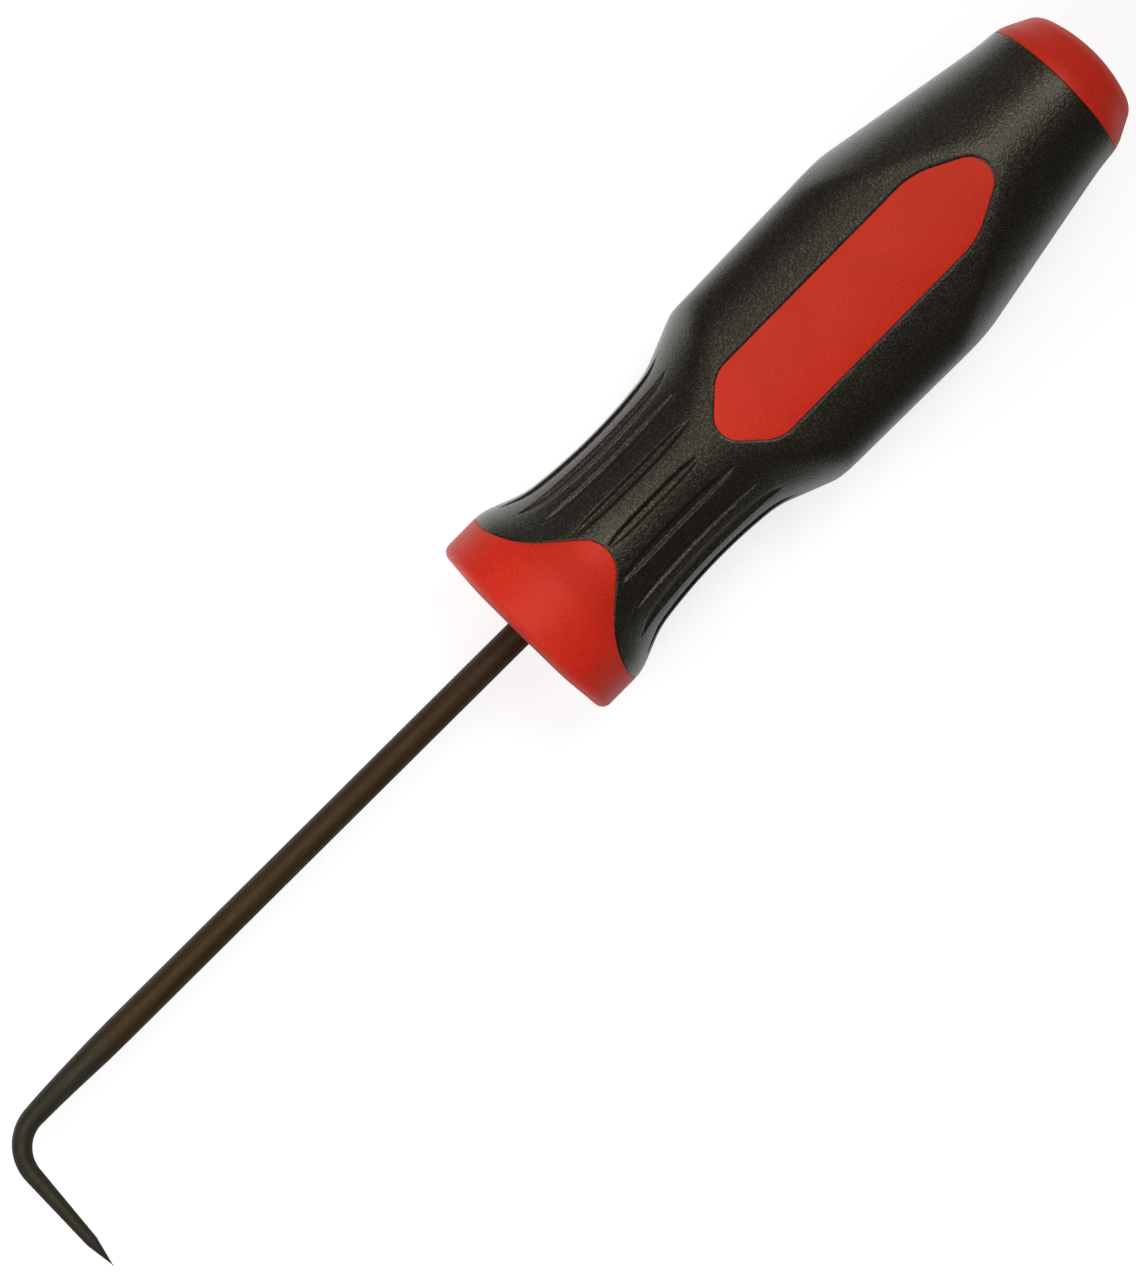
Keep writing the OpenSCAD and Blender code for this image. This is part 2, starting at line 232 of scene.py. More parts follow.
# Floor, in metres: it is a little blue, which makes up for the light's warmth
FLOOR_HALF, FLOOR_BELOW = 3.0, 0.0002
FLOOR_COLOUR = (0.35, 0.36, 0.38, 1)
FLOOR_ROUGHNESS = 0.9
# how strongly it glows to the camera, and to matt surfaces that it lights from below
FLOOR_GLOW, FLOOR_BOUNCE = 0.78, 0.36
# what shiny surfaces mirror of the glow at most, and how that runs across the pick: (y, share); the dim strip
# along the pick and the lower level on its +y side are painted shade, standing for the pick's own shadow on
# the floor
MIRRORED_GLOW, MIRRORED_TO = 1.28, 0.08
MIRRORED_GLOW_AND_PAINTED_SHADE = (
    (-0.075, 0.0), (-0.047, 1.0), (-0.026, 0.86), (-0.016, 1.05), (-0.009, 0.13),
    (0.014, 0.13), (0.018, 0.2), (0.025, 0.56), (0.034, 0.6), (0.055, 0.0),
)

# Light, in metres: the room's plain level, and the sky's patches as
# (where to, the angles in degrees where a patch is full and where it ends, radiance)
WARM = (1.0, 0.965, 0.89)
ROOM = 0.07
SKY = (
    ((-0.25, -0.50, 1.0), 4, 42, 0.42),
    ((-0.43, -0.12, 1.0), 2, 15.5, 8.9),
    ((0.26, -0.05, 1.0), 2, 18, 0.5),
    ((-0.60, -1.0, 0.12), 4, 26, 0.36),
    ((0.88, -0.1, 0.47), 5, 30, 0.8),
)
KEY_AT, KEY_TARGET = (0.085, -0.03, 0.165), (-0.01, 0, 0)
KEY_SIZE, KEY_RADIANCE = 0.12, 3.4

# Camera: the photograph's frame, the handle's axis, the collar's face and the scale at the axis
IMAGE_W, IMAGE_H = 1136, 1280
AXIS_IN_IMAGE = np.array([0.70186, -0.71232])
FACE_IN_IMAGE = np.array([519.6, 634.3])
MM_PER_PIXEL = 0.13556
CAMERA_HEIGHT = 536.2
# the handle is rolled by this much to the camera, so the camera swings round its axis
ROLL = math.radians(2.15)
SENSOR_H, CLIP_END = 24, 50


def unit(v):
    return v / np.linalg.norm(v)


def heading(a):
    return np.array([math.cos(a), math.sin(a)])


def crossing(p, a, q, b):
    """Where two lines cross that are given by a point and a slope."""
    x = (q[1] - p[1] + a * p[0] - b * q[0]) / (a - b)
    return np.array([x, p[1] + a * (x - p[0])])


def corner_arc(before, corner, after, r, step):
    """The points of the arc that rounds one corner."""
    u, v = unit(before - corner), unit(after - corner)
    half = math.acos(float(np.clip(u @ v, -1, 1))) / 2
    centre = corner + unit(u + v) * r / math.sin(half)
    first, last = corner + u * r / math.tan(half) - centre, corner + v * r / math.tan(half) - centre
    start = math.atan2(first[1], first[0])
    turn = (math.atan2(last[1], last[0]) - start + math.pi) % (2 * math.pi) - math.pi
    steps = 2 * max(2, math.ceil(abs(turn) * r / step / 2))
    return [centre + r * heading(start + turn * k / steps) for k in range(steps + 1)]


def rounded(corners, step, closed):
    """Outline points along corners [x, y, radius]; an open outline keeps its two ends."""
    pts = [np.array(c[:2], float) for c in corners]
    out = []
    n = len(corners)
    for i, c in enumerate(corners):
        if c[2] == 0 or (not closed and i in (0, n - 1)):
            out.append(pts[i])
        else:
            out += corner_arc(pts[i - 1], pts[i], pts[(i + 1) % n], c[2], step)
    return np.array(out)


def divided(points, step, closed=False):
    """The same outline with its long straight stretches divided."""
    ends = np.vstack([points, points[:1]]) if closed else points
    out = []
    for a, b in zip(ends[:-1], ends[1:]):
        steps = max(1, round(np.linalg.norm(b - a) / step))
        out += [a + (b - a) * k / steps for k in range(steps)]
    if not closed:
        out.append(ends[-1])
    return np.array(out)


# The turned outline

def neck_corners():
    """The corners of the waisted neck, between the collar and the line that flares out to the belly."""
    slope = math.tan(FLARE)
    front, back = math.asin(HOLLOW_FRONT_L / HOLLOW_R), math.asin(HOLLOW_BACK_L / HOLLOW_R)
    front_end = np.array([NECK_AT - HOLLOW_FRONT_L, NECK_R + HOLLOW_R * (1 - math.cos(front))])
    back_end = np.array([NECK_AT + HOLLOW_BACK_L, NECK_R + HOLLOW_R * (1 - math.cos(back))])

    def blend_end(p, a, side):
        along, up = math.sin(FLARE) - math.sin(a), math.cos(a) - math.cos(FLARE)
        return p + NECK_BLEND_R * np.array([side * along, up])

    flare_front, flare_back = blend_end(front_end, front, -1), blend_end(back_end, back, 1)
    corners = [
        [*crossing(flare_front, -slope, [0, COLLAR_R], 0), COLLAR_BACK_R],
        [*crossing(flare_front, -slope, front_end, -math.tan(front)), NECK_BLEND_R],
        [*crossing(front_end, -math.tan(front), back_end, math.tan(back)), HOLLOW_R],
        [*crossing(back_end, math.tan(back), flare_back, slope), NECK_BLEND_R],
    ]
    return corners, flare_back


def cap_corners(dome_at):
    """The corners of the cap, and the angle that half its dome covers; an edge circle joins the two."""
    cap_at = HANDLE_L - CAP_L
    turn = np.array([cap_at + CAP_TURN_L, TAIL_R - CAP_TURN_L * math.tan(TAIL_END)])
    # the edge circle touches the cap's side and the dome
    edge_line = turn[1] + CAP_TURN_L * math.tan(CAP_ANGLE) - CAP_EDGE_R / math.cos(CAP_ANGLE)
    a = 1 + math.tan(CAP_ANGLE) ** 2
    b = -2 * (dome_at - cap_at) - 2 * edge_line * math.tan(CAP_ANGLE)
    c = (dome_at - cap_at) ** 2 + edge_line ** 2 - (CAP_DOME_R - CAP_EDGE_R) ** 2
    edge_x = (-b + math.sqrt(b * b - 4 * a * c)) / (2 * a)
    edge = np.array([cap_at + edge_x, edge_line - edge_x * math.tan(CAP_ANGLE)])
    dome_a = math.atan2(edge[1], edge[0] - dome_at)
    dome_edge = np.array([dome_at, 0]) + CAP_DOME_R * heading(dome_a)
    side_end = crossing(turn, -math.tan(CAP_ANGLE), dome_edge, -1 / math.tan(dome_a))
    return [[*turn, CAP_TURN_R], [*side_end, CAP_EDGE_R], [*dome_edge, 0]], dome_a


def turned_outline():
    """[distance, radius] from the wire's hole round the collar, along the handle, to the dome's top."""
    neck, flare_back = neck_corners()
    tail_l = TAIL_BLEND_R * math.tan((TAIL - TAIL_END) / 2) + TAIL_STRAIGHT_L
    tail = np.array([HANDLE_L - CAP_L - tail_l, TAIL_R + tail_l * math.tan(TAIL_END)])
    dome_at = HANDLE_L - CAP_DOME_R
    cap, dome_a = cap_corners(dome_at)
    corners = [
        [0, WIRE_R + MOUTH_CHAMFER, 0],
        [0, COLLAR_FLAT_R, COLLAR_FACE_R],
        [COLLAR_FALL, COLLAR_R, COLLAR_EDGE_R],
        *neck,
        # the flare and the long taper would meet here, but the belly cuts this peak off
        [*crossing(flare_back, math.tan(FLARE), tail, -math.tan(TAIL)), 0],
        [*tail, TAIL_BLEND_R],
        *cap,
    ]
    dome = [
        np.array([dome_at, 0]) + CAP_DOME_R * heading(dome_a * (1 - k / DOME_STEPS))
        for k in range(1, DOME_STEPS + 1)
    ]
    return divided(np.vstack([rounded(corners, OUTLINE_STEP, False), dome]), OUTLINE_STEP)


OUTLINE = turned_outline()
OUTLINE = OUTLINE[np.concatenate([[True], np.linalg.norm(np.diff(OUTLINE, axis=0), axis=1) > 1e-6])]
OUTLINE_T = np.concatenate([[0], np.cumsum(np.linalg.norm(np.diff(OUTLINE, axis=0), axis=1))])
LAST_T = OUTLINE_T[-1]
CAP_T = float(np.interp(HANDLE_L - CAP_L, OUTLINE[:, 0], OUTLINE_T))
# up to here the outline is on the collar's face and its edge, which are red all round
FACE_T = OUTLINE_T[np.argmax(OUTLINE[:, 1] >= COLLAR_R - 0.01)]


def d_of(t):
    """The distance from the collar's face, for a length along the outline."""
    return np.interp(t, OUTLINE_T, OUTLINE[:, 0])


def r_of(t):
    """The turned outline's radius, for a length along it."""
    return np.interp(t, OUTLINE_T, OUTLINE[:, 1])


def t_of(d):
    """Only for places behind the collar's front edge, where d grows all along."""
    return np.interp(d, OUTLINE[:, 0], OUTLINE_T)


# The handle's form

def bar_radius(d, angle):
    """Radius of the belly's crowned and drafted bar; angle 0 faces the front window."""
    lean = (d - BELLY_AT) * math.tan(BELLY_DRAFT)
    half_w, half_t = BELLY_W / 2 + lean, BELLY_T / 2 + lean
    face_x = half_t - BELLY_FACE_R
    in_w = half_w - BELLY_CORNER_R
    crown = np.arcsin(in_w / (BELLY_FACE_R - BELLY_CORNER_R))
    in_x = face_x + (BELLY_FACE_R - BELLY_CORNER_R) * np.cos(crown)
    a = np.arctan2(np.abs(np.sin(angle)), np.abs(np.cos(angle)))
    c, s = np.cos(a), np.sin(a)
    on_face = face_x * c + np.sqrt(BELLY_FACE_R ** 2 - (face_x * s) ** 2)
    mid = in_x * c + in_w * s
    on_corner = mid + np.sqrt(np.maximum(0, BELLY_CORNER_R ** 2 - in_x ** 2 - in_w ** 2 + mid ** 2))
    on_side = half_w / np.maximum(s, 1e-6)
    face_end = np.arctan2(in_w + BELLY_CORNER_R * np.sin(crown), in_x + BELLY_CORNER_R * np.cos(crown))
    corner_end = np.arctan2(half_w, in_x)
    r = np.where(a <= face_end, on_face, np.where(a <= corner_end, on_corner, on_side))
    return np.where(d < NECK_AT, FAR, r)


def soft_min(a, b, k):
    """The smaller of the two, with a soft change over a difference of k."""
    return np.minimum(a, b) - np.maximum(k - np.abs(a - b), 0) ** 2 / (4 * k)


def smooth(x):
    """Runs from 0 to 1 with level ends."""
    x = np.clip(x, 0, 1)
    return x * x * (3 - 2 * x)


def radius(t, angle):
    """The handle's plain form, before edges, recesses and flutes."""
    d = d_of(t)
    shoulder = SHOULDER_BLEND + (SHOULDER_SIDE_BLEND - SHOULDER_BLEND) * np.sin(angle) ** SHOULDER_SIDE_POWER
    behind = smooth((d - BELLY_AT + BLEND_TURN_L / 2) / BLEND_TURN_L)
    blend = shoulder + (TAPER_BLEND - shoulder) * behind
    return soft_min(r_of(t), bar_radius(d, angle), blend)


def angle_of(d, y):
    """The angle at which the handle's surface, at distance d, is y off the middle plane."""
    t = t_of(d)
    low, high = np.zeros_like(d), np.full_like(d, math.pi / 2)
    for _ in range(BISECTIONS):
        mid = (low + high) / 2
        inside = radius(t, mid) * np.sin(mid) < y
        low, high = np.where(inside, mid, low), np.where(inside, high, mid)
    return (low + high) / 2


def flute_middle(angle):
    """The angle of the nearest flute, and half that flute's length."""
    between = (FLUTE_ANGLES[1:] + FLUTE_ANGLES[:-1]) / 2
    middle = FLUTE_ANGLES[np.searchsorted(between, angle)]
    return middle, FLUTE_REACH + FLUTE_SIDE_REACH * np.sin(middle)


def flute_drop(t, angle):
    """Depth of the flutes: each has a narrow floor and sloping walls, and runs out to a point."""
    middle, reach = flute_middle(angle)
    along = np.clip(np.abs(d_of(t) - FLUTE_AT) / reach, 0, 1)
    size = (1 - along ** FLUTE_FULLNESS) ** FLUTE_RUN_OUT
    floor = np.where(middle > FLUTE_SIDE_FROM, FLUTE_SIDE_FLOOR, FLUTE_FLOOR)
    across = np.abs(r_of(t) * np.sin(angle - middle))
    up = np.clip((across - floor * size) / np.maximum(FLUTE_WALL * size, 1e-6), 0, 1)
    low, high = smooth(FLUTE_EDGE), smooth(1 - FLUTE_EDGE)
    wall = (smooth(FLUTE_EDGE + up * (1 - 2 * FLUTE_EDGE)) - low) / (high - low)
    return FLUTE_DEPTH * size * (1 - wall)


def edge_drop(distance, r):
    """How far a rounded edge of radius r lies below the surface, this far from the edge."""
    gap = np.clip(r - distance, 0, r)
    return r - np.sqrt(r * r - gap * gap)


def lip_drop(distance):
    """How far the grip's lip lies below the surface, this far from a window."""
    return LIP_DROP * np.clip(1 - distance / LIP_W, 0, 1) ** 2


# The borders between red and black, seen from the front: [distance, y]

def wave_outline():
    """The collar's wave, which comes to a rounded top in front and runs level at the sides."""
    apex = WAVE_TOP + WAVE_TOP_R * (1 / math.sin(WAVE_ANGLE) - 1)
    corners = [
        [apex, 0, WAVE_TOP_R],
        [COLLAR_SIDE_L, (apex - COLLAR_SIDE_L) * math.tan(WAVE_ANGLE), WAVE_FOOT_R],
        [COLLAR_SIDE_L, 2 * COLLAR_R, 0],
    ]
    mirror = [[c[0], -c[1], c[2]] for c in corners[:0:-1]]
    line = divided(rounded(mirror + corners, BORDER_STEP, False), BORDER_STEP)
    line[:, 0] += WAVE_TURN * smooth((np.abs(line[:, 1]) - WAVE_TURN_AT) / (COLLAR_R - WAVE_TURN_AT))
    return line


def window_outline():
    """The window: straight sides, and tips of which the rear one is the longer."""
    half_w = WINDOW_W / 2
    front = WINDOW_START - WINDOW_TIP_R * (1 / math.sin(WINDOW_FRONT_A) - 1)
    rear = WINDOW_END + WINDOW_TIP_R * (1 / math.sin(WINDOW_REAR_A) - 1)
    corners = [
        [front, 0, WINDOW_TIP_R],
        [front + half_w / math.tan(WINDOW_FRONT_A), half_w, WINDOW_FRONT_R],
        [rear - half_w / math.tan(WINDOW_REAR_A), half_w, WINDOW_REAR_R],
        [rear, 0, WINDOW_TIP_R],
    ]
    mirror = [[c[0], -c[1], c[2]] for c in corners[2:0:-1]]
    return divided(rounded(corners + mirror, BORDER_STEP, True), BORDER_STEP, closed=True)


def shifted(points, by, outward):
    """The outline moved sideways by a distance; outward is +1 or -1 for the side that counts as out."""
    ahead, behind = np.roll(points, -1, axis=0), np.roll(points, 1, axis=0)
    along = ahead - behind
    normal = np.stack([along[:, 1], -along[:, 0]], axis=1)
    normal /= np.linalg.norm(normal, axis=1)[:, None]
    return points + outward * by * normal


WAVE, WINDOW = wave_outline(), window_outline()
# the side that counts as out is the black one
WAVE_OUT = 1
WINDOW_OUT = -1


def signed(points, outline, closed):
    """Distance of points from an outline, with the nearest segment's side as its sign."""
    a = outline
    b = np.roll(outline, -1, axis=0)
    if not closed:
        a, b = a[:-1], b[:-1]
    ab = b - a
    best = np.full(len(points), FAR)
    side = np.ones(len(points))
    for k in range(len(a)):
        ap = points - a[k]
        f = np.clip((ap @ ab[k]) / (ab[k] @ ab[k]), 0, 1)
        off = ap - f[:, None] * ab[k]
        dist = np.hypot(off[:, 0], off[:, 1])
        turn = ab[k][1] * off[:, 0] - ab[k][0] * off[:, 1]
        nearer = dist < best - 1e-9
        best = np.where(nearer, dist, best)
        side = np.where(nearer, np.sign(turn), side)
    return best * side


def borders(t, angle):
    """Distances from the wave, the window and the cap's edge; each is positive on the black side."""
    d = d_of(t)
    y = radius(t, angle) * np.sin(angle)
    at = np.stack([d, y], axis=1)
    wave = np.where(t < FACE_T, -FAR, WAVE_OUT * signed(at, WAVE, False))
    window = WINDOW_OUT * signed(at, WINDOW, True)
    return wave, window, CAP_T - t


def red_drop(t, angle):
    """How far the red surface lies below the plain form: the windows' pads and the rounded seams."""
    wave, window, cap = borders(t, angle)
    pad = WINDOW_RECESS + edge_drop(np.maximum(-window, 0), PAD_EDGE_R)
    seams = edge_drop(np.abs(wave), SEAM_R) + edge_drop(np.abs(cap), SEAM_R)
    return np.where(window < ON_BORDER, pad, seams)


def black_drop(t, angle):
    """How far the grip lies below the plain form: its rounded edges and lips, and the flutes."""
    wave, window, cap = borders(t, angle)
    edges = edge_drop(np.maximum(wave, 0), SEAM_R) + edge_drop(np.maximum(cap, 0), SEAM_R)
    return edges + lip_drop(np.maximum(window, 0)) + flute_drop(t, angle)


def placed(t, angle, drop):
    """World places of surface points, in metres."""
    r = radius(t, angle) - drop
    return np.stack([-d_of(t), r * np.sin(angle), r * np.cos(angle)], axis=1) * MM


# The mesh of a quarter of the handle

def rows(spacing):
    """Stations along the outline, closer together where it turns."""
    along = np.diff(OUTLINE, axis=0)
    turn = np.abs(np.diff(np.unwrap(np.arctan2(along[:, 1], along[:, 0])), prepend=0))
    turn[0] = 0
    weight = np.linalg.norm(along, axis=1) / spacing + turn / ARC_TURN * min(1, FINE / spacing)
    total = np.concatenate([[0], np.cumsum(weight)])
    count = math.ceil(total[-1])
    return np.interp(np.linspace(0, total[-1], count + 1), total, OUTLINE_T)


def on_border(points):
    """Outline points [d, y] as [t, angle]."""
    d, y = points[:, 0], points[:, 1]
    return np.stack([t_of(d), angle_of(d, y)], axis=1)


def wave_ring(by):
    """The wave's border moved by a distance, from the front to the side, as [t, angle]."""
    ring = shifted(WAVE, by, WAVE_OUT)
    ring = ring[ring[:, 1] > -BORDER_STEP]
    angle = np.linspace(0, QUARTER, math.ceil(QUARTER * COLLAR_R / BORDER_STEP))
    y = np.zeros_like(angle)
    for _ in range(BISECTIONS):
        t = t_of(np.interp(y, ring[:, 1], ring[:, 0]))
        y = radius(t, angle) * np.sin(angle)
    return np.stack([t, angle], axis=1)


def window_ring(by):
    """The window's border moved by a distance, from its front tip to its rear tip, as [t, angle]."""
    ring = shifted(WINDOW, by, WINDOW_OUT)
    ring = ring[ring[:, 1] > -1e-6]
    ring = ring[np.argsort(np.arctan2(ring[:, 1], (WINDOW_START + WINDOW_END) / 2 - ring[:, 0]))]
    ring[0, 1] = ring[-1, 1] = 0
    return on_border(ring)


def cap_ring(by):
    """A circle beside the cap's seam, from the front to the side, as [t, angle]."""
    count = math.ceil(QUARTER * TAIL_R / FINE)
    return np.stack([np.full(count + 1, CAP_T + by), np.linspace(0, QUARTER, count + 1)], axis=1)


def mouth_ring():
    """The front edge of the chamfer round the wire."""
    return np.stack([np.zeros(MOUTH_SIDES + 1), np.linspace(0, QUARTER, MOUTH_SIDES + 1)], axis=1)


def flute_points():
    """Rows of points along each flute of the quarter."""
    out = []
    for middle in FLUTE_ANGLES:
        _, reach = flute_middle(middle)
        d = np.arange(FLUTE_AT - reach, FLUTE_AT + reach, FLUTE_STEP)
        t = t_of(d)
        for across in FLUTE_ROWS:
            for side in ((1,) if across == 0 or middle == 0 else (1, -1)):
                out.append(np.stack([t, middle + side * np.arcsin(across / r_of(t))], axis=1))
    return np.vstack(out)


def grid_points(spacing):
    """Rows of points that fill the quarter, each row half a step beside the one before."""
    grid = []
    for k, t in enumerate(rows(spacing)[1:]):
        count = max(2, round(QUARTER * float(r_of(t)) / spacing))
        angles = np.linspace(0, QUARTER, count + 1)
        if k % 2 and count > 2:
            angles = np.concatenate([[0], angles[:-1] + QUARTER / count / 2, [QUARTER]])
        grid.append(np.stack([np.full(len(angles), t), angles], axis=1))
    return np.vstack(grid)


def clear_of_lines(t, angle, room, fine):
    """Which places keep clear of the points along the borders, round the mouth and in the flutes."""
    wave, window, cap = borders(t, angle)
    outside, inside, beside = (max(WINDOW_RINGS), min(WINDOW_RINGS), max(SEAM_RINGS)) if fine else (0, 0, 0)
    clear = (np.abs(wave) > beside + room) & (np.abs(cap) > beside + room)
    clear &= (window > outside + room) | (window < inside - room)
    if fine:
        middle, reach = flute_middle(angle)
        across = np.abs(r_of(t) * np.sin(angle - middle))
        ahead = np.abs(d_of(t) - FLUTE_AT) > reach + FLUTE_ROOM_ALONG
        clear &= ahead | (across > max(FLUTE_ROWS) + FLUTE_ROOM_ACROSS)
    return clear & (t > MOUTH_ROOM)


def quarter_points(spacing, fine):
    """All the points [t, angle] of a quarter, and the edges between them that the mesh has to keep."""
    points, chains = [], []

    def add(ring, chained):
        start = sum(len(p) for p in points)
        points.append(ring)
        if chained:
            chains.extend((start + k, start + k + 1) for k in range(len(ring) - 1))

    for by in SEAM_RINGS if fine else (0,):
        add(wave_ring(by), by == 0)
        add(cap_ring(by), by == 0)
    for by in WINDOW_RINGS if fine else (0,):
        add(window_ring(by), by == 0)
    if fine:
        flute = flute_points()
        wave, window, _ = borders(flute[:, 0], flute[:, 1])
        add(flute[(wave > FLUTE_CLEAR) & (window > FLUTE_CLEAR)], False)
    add(mouth_ring(), False)
    grid = grid_points(spacing)
    t, angle = grid[:, 0], grid[:, 1]
    at_top = t > LAST_T - 1e-9
    add(grid[clear_of_lines(t, angle, spacing * GRID_ROOM, fine) | at_top], False)
    return np.vstack(points), chains


def triangulated(spacing, fine):
    """[t, angle] points, triangles, and whether each triangle is black, for a quarter of the handle."""
    points, chains = quarter_points(spacing, fine)
    flat = points * [1, MID_R]
    keys = {}
    first = np.array([keys.setdefault((round(u, 3), round(v, 3)), len(keys)) for u, v in flat])
    kept = np.zeros((len(keys), 2))
    kept[first[::-1]] = flat[::-1]
    edges = [(int(first[a]), int(first[b])) for a, b in chains if first[a] != first[b]]
    verts, _, faces, *_ = delaunay_2d_cdt([Vector(p) for p in kept], edges, [], 0, 1e-6)
    uv = np.array([v[:] for v in verts]) / [1, MID_R]
    tris = np.array([f for f in faces if len(f) == 3])
    middle = uv[tris].mean(axis=1)
    wave, window, cap = borders(middle[:, 0], middle[:, 1])
    black = (wave > 0) & (window > 0) & (cap > 0)
    a, b, c = (uv[tris[:, k]] for k in range(3))
    area = (b[:, 0] - a[:, 0]) * (c[:, 1] - a[:, 1]) - (b[:, 1] - a[:, 1]) * (c[:, 0] - a[:, 0])
    keep = np.abs(area) > 1e-8
    tris[area < 0] = tris[area < 0][:, ::-1]
    return uv, tris[keep], black[keep]


def border_edges(uv, tris):
    """Edges that only one triangle has, apart from those on the quarter's sides and at the outline's ends."""
    single = {}
    for tri in tris:
        for a, b in ((tri[0], tri[1]), (tri[1], tri[2]), (tri[2], tri[0])):
            if (b, a) in single:
                del single[(b, a)]
            else:
                single[(a, b)] = True
    t, angle = uv[:, 0], uv[:, 1]
    rims = [angle < ON_RIM, angle > QUARTER - ON_RIM, t < ON_RIM, t > LAST_T - ON_RIM]
    return [(a, b) for a, b in single if not any(rim[a] and rim[b] for rim in rims)]


def mirrored(places, faces):
    """All four quarters of a piece, as lists of places and faces."""
    verts, out = [], []
    for sy in (1, -1):
        for sz in (1, -1):
            start = len(verts)
            verts += [tuple(p) for p in places * [1, sy, sz]]
            step = sy * sz
            out += [tuple(start + int(i) for i in f[::step]) for f in faces]
    return verts, out


def welded(name, verts, faces, sharp):
    """A mesh in which what meets is joined, shaded smoothly up to the sharp angle."""
    mesh = bpy.data.meshes.new(name)
    mesh.from_pydata(verts, [], faces)
    bm = bmesh.new()
    bm.from_mesh(mesh)
    bmesh.ops.remove_doubles(bm, verts=bm.verts, dist=WELD)
    bmesh.ops.dissolve_degenerate(bm, edges=bm.edges, dist=WELD / 20)
    bmesh.ops.delete(bm, geom=[v for v in bm.verts if not v.link_faces], context="VERTS")
    bmesh.ops.recalc_face_normals(bm, faces=bm.faces)
    bm.to_mesh(mesh)
    open_edges = sum(1 for e in bm.edges if len(e.link_faces) != 2)
    bm.free()
    mesh.polygons.foreach_set("use_smooth", [True] * len(mesh.polygons))
    mesh.set_sharp_from_angle(angle=sharp)
    print("mesh", name, len(mesh.polygons), "faces", open_edges, "open edges")
    return mesh


def as_piece(mesh, look, replaced):
    """Puts a mesh into the scene in place of a CAD node."""
    piece = bpy.data.objects.new(mesh.name, mesh)
    scene.collection.objects.link(piece)
    mesh.materials.append(look)
    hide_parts(replaced)
    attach(piece, "root")


# Materials

def material(name):
    """A new material, its nodes, its shader, and places on the piece in millimetres."""
    m = bpy.data.materials.new(name)
    m.use_nodes = True
    tree = m.node_tree
    coord = tree.nodes.new("ShaderNodeTexCoord")
    mm = tree.nodes.new("ShaderNodeVectorMath")
    mm.operation = "SCALE"
    mm.inputs["Scale"].default_value = 1 / MM
    tree.links.new(coord.outputs["Object"], mm.inputs[0])
    return m, tree, tree.nodes["Principled BSDF"], mm.outputs[0]


def noise(tree, where, size, detail=3.0, roughness=0.55):
    """Noise whose patches are about this many millimetres across."""
    n = tree.nodes.new("ShaderNodeTexNoise")
    n.inputs["Scale"].default_value = 1 / size
    n.inputs["Detail"].default_value = detail
    n.inputs["Roughness"].default_value = roughness
    tree.links.new(where, n.inputs["Vector"])
    return n.outputs["Fac"]


def ramp(tree, value, stops):
    """A colour ramp; stops are (position, (r, g, b))."""
    r = tree.nodes.new("ShaderNodeValToRGB")
    while len(r.color_ramp.elements) < len(stops):
        r.color_ramp.elements.new(0.5)
    for e, (at, colour) in zip(r.color_ramp.elements, stops):
        e.position = at
        e.color = (*colour, 1)
    tree.links.new(value, r.inputs["Fac"])
    return r.outputs["Color"]


def shaded(tree, value, colours):
    """From the first colour to the second one, by a noise value."""
    return ramp(tree, value, list(zip((NOISE_LOW, NOISE_HIGH), colours)))


def arithmetic(tree, operation, a, b):
    """A sum, product or the like; a and b are sockets or plain numbers."""
    node = tree.nodes.new("ShaderNodeMath")
    node.operation = operation
    for value, socket in zip((a, b), node.inputs):
        if isinstance(value, float):
            socket.default_value = value
        else:
            tree.links.new(value, socket)
    return node.outputs[0]


def mixed(tree, a, b, share):
    """A mixture of two noises; share is how much of the second one goes in."""
    mix = tree.nodes.new("ShaderNodeMix")
    mix.inputs["Factor"].default_value = share
    tree.links.new(a, mix.inputs["A"])
    tree.links.new(b, mix.inputs["B"])
    return mix.outputs["Result"]


def colour_socket(sockets, name):
    """A Mix node has several sockets of one name: this picks the one for colours."""
    return next(s for s in sockets if s.name == name and s.type == "RGBA")


def blended(tree, share, a, b):
    """The first colour where share is 0, and the second one where it is 1."""
    mix = tree.nodes.new("ShaderNodeMix")
    mix.data_type = "RGBA"
    tree.links.new(share, mix.inputs["Factor"])
    tree.links.new(a, colour_socket(mix.inputs, "A"))
    tree.links.new(b, colour_socket(mix.inputs, "B"))
    return colour_socket(mix.outputs, "Result")


def mapped(tree, value, start, end, low=0.0, high=1.0):
    """Maps a value from start..end onto low..high."""
    n = tree.nodes.new("ShaderNodeMapRange")
    n.inputs["From Min"].default_value = start
    n.inputs["From Max"].default_value = end
    n.inputs["To Min"].default_value = low
    n.inputs["To Max"].default_value = high
    tree.links.new(value, n.inputs["Value"])
    return n.outputs["Result"]


def spread(tree, value, limits):
    """Maps a noise value onto a range."""
    return mapped(tree, value, NOISE_LOW, NOISE_HIGH, *limits)


def bump(tree, shader, layers):
    """Stacks bump layers (height, depth in millimetres, strength)."""
    normal = None
    for height, depth, strength in layers:
        b = tree.nodes.new("ShaderNodeBump")
        b.inputs["Distance"].default_value = depth * MM
        b.inputs["Strength"].default_value = strength
        tree.links.new(height, b.inputs["Height"])
        if normal is not None:
            tree.links.new(normal, b.inputs["Normal"])
        normal = b.outputs["Normal"]
    tree.links.new(normal, shader.inputs["Normal"])


